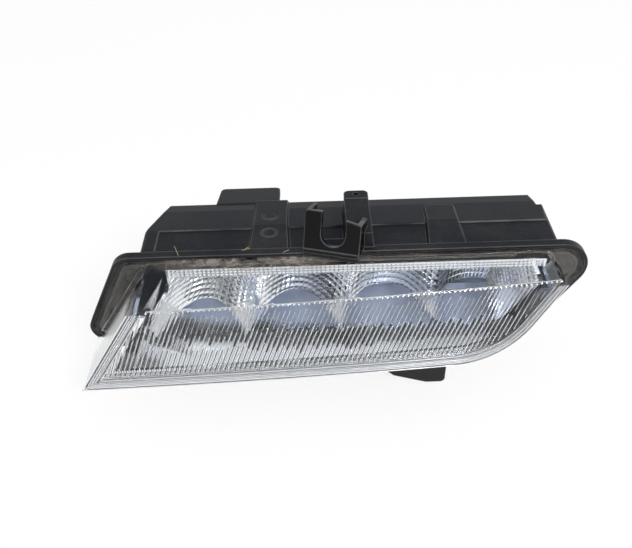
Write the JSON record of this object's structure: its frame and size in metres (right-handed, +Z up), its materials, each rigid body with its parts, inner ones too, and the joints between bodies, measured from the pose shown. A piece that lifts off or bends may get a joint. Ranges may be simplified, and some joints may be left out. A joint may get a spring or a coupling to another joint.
{
  "type": "bumper light",
  "caption": "Slanted LED bumper light with a clear fluted lens over faceted bright cups, a black moulded housing, a slotted upper bracket and a lower fixing tab.",
  "frame": {"origin": "centre of the upper bracket's open slot, on the front face of its plate", "axes": "+X to the right seen from the front, +Y to the rear of the lamp, +Z up as in the picture; the lens faces -Y"},
  "size_m": [0.2247, 0.0955, 0.0972],
  "materials": {
    "housing_black": "moulded, semi-gloss, dusty",
    "lens_clear": "clear, fluted inside",
    "sealant_grey": "matte",
    "bright_film": "metallised mirror film on a faceted moulding",
    "board_white": "solder-masked metal-core board",
    "led_yellow": "light source with a clear dome",
    "pad_grey": "soft sheet",
    "aluminium": "plain",
    "board_green": "solder mask",
    "chip_black": "moulded package",
    "ferrite": "wound choke",
    "header_cream": "moulded",
    "lead_black": "insulated lead",
    "terminal_tin": "tinned blade",
    "screw_steel": "zinc-plated",
    "cap_rubber": "matte",
    "filter_white": "breather membrane"
  },
  "bodies": {
    "root": {"rear_housing": "housing_black", "lens_cover": "lens_clear", "lens_sealant": "sealant_grey", "reflector": "bright_film", "lower_bezel": "bright_film", "led_board": "board_white", "led_1": "led_yellow", "led_2": "led_yellow", "led_3": "led_yellow", "led_4": "led_yellow", "thermal_pad": "pad_grey", "heat_sink": "aluminium", "driver_board": "board_green", "driver_chip": "chip_black", "choke_coil": "ferrite", "capacitors": "aluminium", "wire_header": "header_cream", "supply_leads": "lead_black", "jumper_leads": "lead_black", "plug_terminals": "terminal_tin", "reflector_screws": "screw_steel", "board_screws": "screw_steel", "driver_screws": "screw_steel", "breather_cap": "cap_rubber", "breather_filter": "filter_white"}
  },
  "joints": []
}
